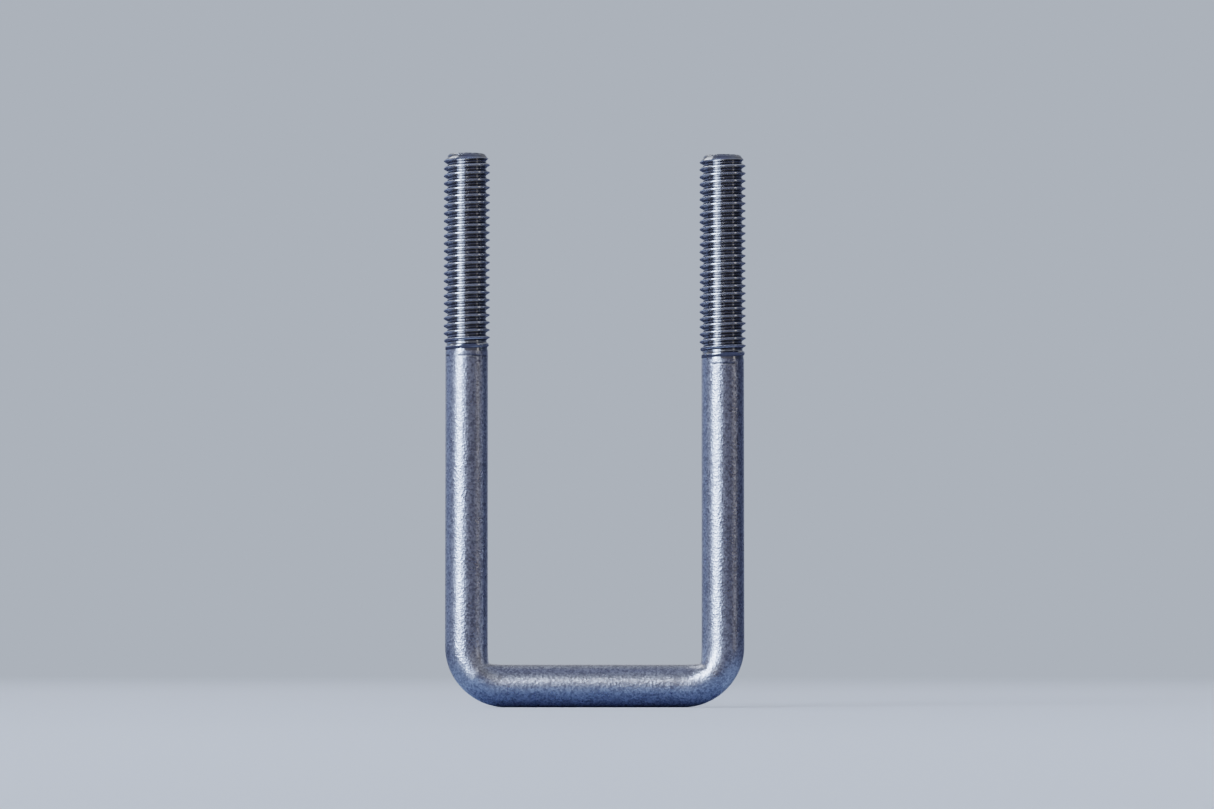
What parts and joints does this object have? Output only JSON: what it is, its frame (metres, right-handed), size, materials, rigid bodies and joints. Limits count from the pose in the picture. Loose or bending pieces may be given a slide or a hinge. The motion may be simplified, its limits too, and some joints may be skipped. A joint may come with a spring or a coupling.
{
  "type": "u-bolt",
  "caption": "Square-cornered U-bolt bent from round rod, with tight corners, a straight crossbar and a coarse rolled thread on each leg.",
  "frame": {"origin": "middle of the seat: the crossbar's inner face, halfway between the legs, in the middle plane of the rod", "axes": "+Z along the legs towards the threaded tips; +X across the legs, towards the right leg; Y through the thickness"},
  "size_m": [0.0505, 0.0078, 0.0921],
  "materials": {
    "tumbled_steel": "matte grey, fine dark speckle, as tumbled or pickled",
    "rolled_thread_steel": "bright, burnished by thread rolling"
  },
  "bodies": {
    "root": {"bent_bar": "tumbled_steel", "left_threaded_end": "rolled_thread_steel", "right_threaded_end": "rolled_thread_steel"}
  },
  "joints": []
}
